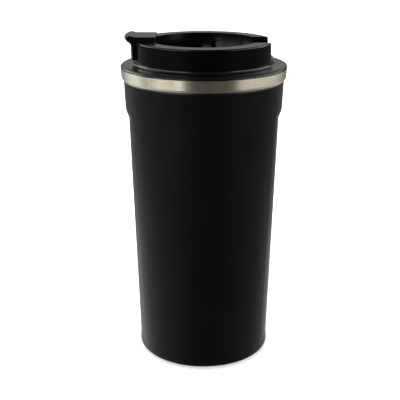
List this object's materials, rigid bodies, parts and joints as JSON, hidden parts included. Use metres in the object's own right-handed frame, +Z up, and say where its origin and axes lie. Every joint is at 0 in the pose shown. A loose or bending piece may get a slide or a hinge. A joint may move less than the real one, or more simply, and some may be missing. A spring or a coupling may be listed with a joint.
{
  "type": "insulated travel mug",
  "caption": "Tapered insulated travel mug with a bare steel band, black grip sleeve, screw lid and a flip lever that plugs the drinking spout.",
  "frame": {"origin": "centre of the base, on the surface that the mug stands on", "axes": "+Z up along the mug's axis; the drinking side and the lever's free end are towards -X; the hinge runs along Y"},
  "size_m": [0.09, 0.09, 0.182],
  "materials": {
    "band_steel": "brushed round the mug, warm satin",
    "liner_steel": "satin, fine turning marks",
    "foil": "bright foil",
    "getter_metal": "dull grey pellet",
    "solder_glass": "fused glass bead",
    "sleeve_plastic": "black, fine matt texture",
    "base_plastic": "black, plain moulded",
    "lid_plastic": "black, satin moulded",
    "plug_plastic": "black, satin moulded",
    "lever_plastic": "black, satin moulded",
    "pad_rubber": "black, soft and dull",
    "seal_rubber": "black, soft and dull",
    "silicone": "pale grey, slightly translucent silicone",
    "stopper_silicone": "black silicone, satin",
    "foam": "grey closed-cell foam",
    "pin_steel": "plain drawn wire"
  },
  "bodies": {
    "cup": {"inner_liner": "liner_steel", "liner_base": "liner_steel", "heat_foil": "foil", "getter": "getter_metal", "outer_wall": "band_steel", "vacuum_base": "band_steel", "vacuum_seal": "solder_glass", "body_sleeve": "sleeve_plastic", "sleeve_ring": "seal_rubber", "base_cushion": "foam", "base_cap": "base_plastic", "base_pad": "pad_rubber"},
    "lid_seal": {"lid_gasket": "silicone"},
    "lid": {"lid_shell": "lid_plastic", "lid_plug": "plug_plastic", "tube_seal": "silicone", "vent_valve": "silicone", "hinge_pins": "pin_steel"},
    "lever": {"flip_lever": "lever_plastic", "spout_stopper": "stopper_silicone"}
  },
  "joints": [
    {"name": "lid_lift", "type": "slide", "parent": "cup", "child": "lid_seal", "axis": [0, 0, 1], "range_m": [0, 0.0212]},
    {"name": "lid_turn", "type": "hinge", "parent": "lid_seal", "child": "lid", "pos_m": [0, 0, 0.1647], "axis": [0, 0, 1], "range_deg": [0, 1170]},
    {"name": "lever_flip", "type": "hinge", "parent": "lid", "child": "lever", "pos_m": [0.0017, 0, 0.1704], "axis": [0, 1, 0], "range_deg": [0, 158]}
  ],
  "couplings": [
    {"joint": "lid_lift", "follows": "lid_turn", "m_per_rad": 0.0010345}
  ]
}
